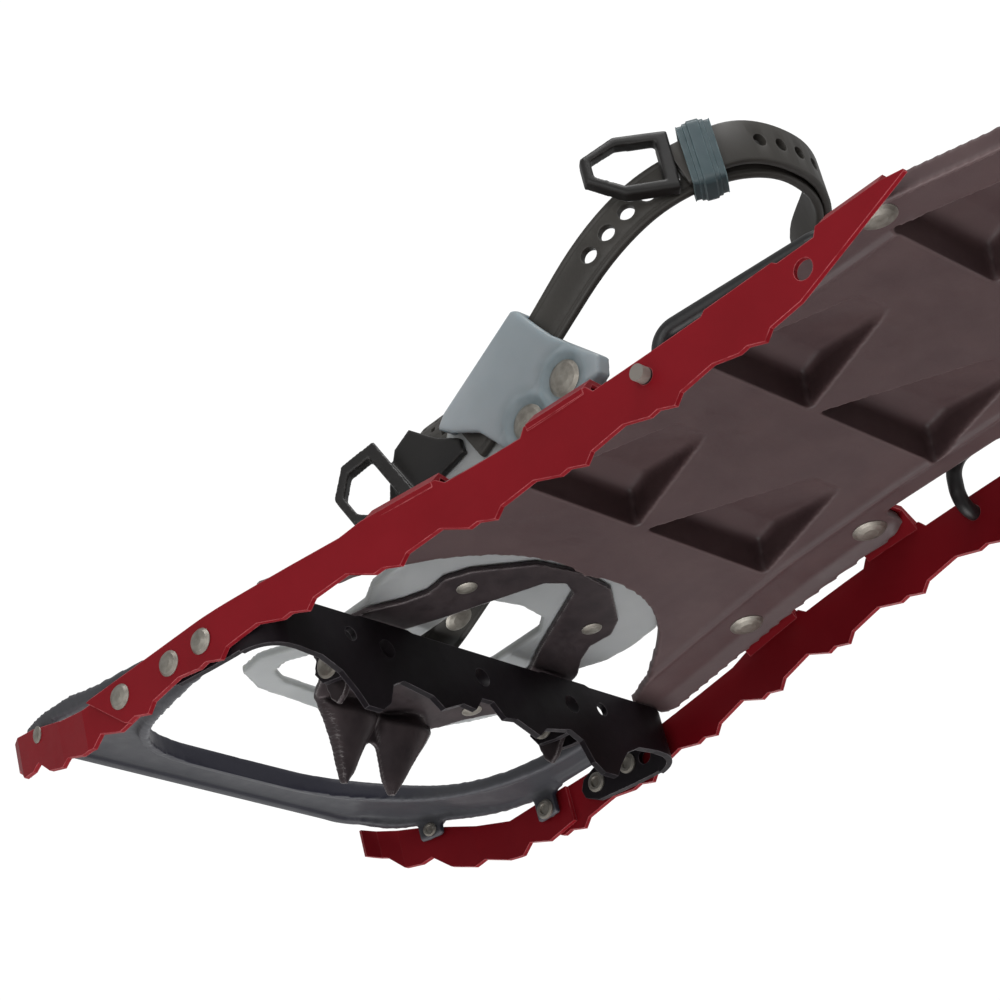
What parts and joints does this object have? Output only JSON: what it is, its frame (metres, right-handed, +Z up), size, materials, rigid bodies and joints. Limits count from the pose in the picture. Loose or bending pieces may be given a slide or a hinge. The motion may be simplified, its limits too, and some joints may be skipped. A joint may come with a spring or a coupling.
{
  "type": "snowshoe",
  "caption": "Moulded-deck snowshoe with serrated side rails, a pivoting toothed crampon under a strap binding, and a folding wire heel lift.",
  "frame": {"origin": "under the middle of the shoe, on the ground that the lowest claws touch", "axes": "+Z up, -Y towards the nose, +X towards the wearer's left when the nose points forwards"},
  "size_m": [0.196, 0.5603, 0.1215],
  "materials": {
    "deck_moulding": "fine-grained moulded plastic, satin",
    "nose_moulding": "fine-grained moulded plastic, satin",
    "rail_coating": "smooth red powder coat on aluminium sheet",
    "crossbar_coating": "black powder coat on steel",
    "crampon_steel": "dark satin steel",
    "rivet_metal": "satin nickel colour",
    "urethane": "cloudy blue-grey urethane",
    "strap_rubber": "fine-grained black strap rubber",
    "buckle_plastic": "black moulded nylon",
    "keeper_rubber": "blue-grey moulded rubber",
    "bail_wire": "black coated steel wire"
  },
  "bodies": {
    "frame": {"deck": "deck_moulding", "nose_bow": "nose_moulding", "rail_left": "rail_coating", "rail_right": "rail_coating", "corner_plate_left": "rail_coating", "corner_plate_right": "rail_coating", "crossbar": "crossbar_coating", "ear_rivets": "rivet_metal", "corner_rivets": "rivet_metal", "nose_rivets": "rivet_metal", "deck_rivets": "rivet_metal", "hinge_pins": "rivet_metal"},
    "binding": {"crampon": "crampon_steel", "binding_base": "urethane", "crampon_eyelets": "rivet_metal", "sleeve_left": "urethane", "sleeve_right": "urethane", "sleeve_rivets": "rivet_metal", "left_strap": "strap_rubber", "right_strap": "strap_rubber", "heel_buckle": "buckle_plastic", "forefoot_buckle": "buckle_plastic", "instep_strap": "strap_rubber", "instep_rivets": "rivet_metal", "centre_strap": "strap_rubber", "centre_rivet": "rivet_metal"},
    "heel_lift": {"heel_lift_bail": "bail_wire"},
    "keeper": {"heel_keeper": "keeper_rubber"}
  },
  "joints": [
    {"name": "binding_pivot", "type": "hinge", "parent": "frame", "child": "binding", "pos_m": [0, -0.169, 0.022], "axis": [1, 0, 0], "range_deg": [0, 85]},
    {"name": "heel_lift_pivot", "type": "hinge", "parent": "frame", "child": "heel_lift", "pos_m": [0, -0.019, 0.023], "axis": [1, 0, 0], "range_deg": [0, 90]},
    {"name": "keeper_slide", "type": "slide", "parent": "binding", "child": "keeper", "axis": [-0.5735, 0.8192, 0], "range_m": [-0.001, 0.004]}
  ]
}
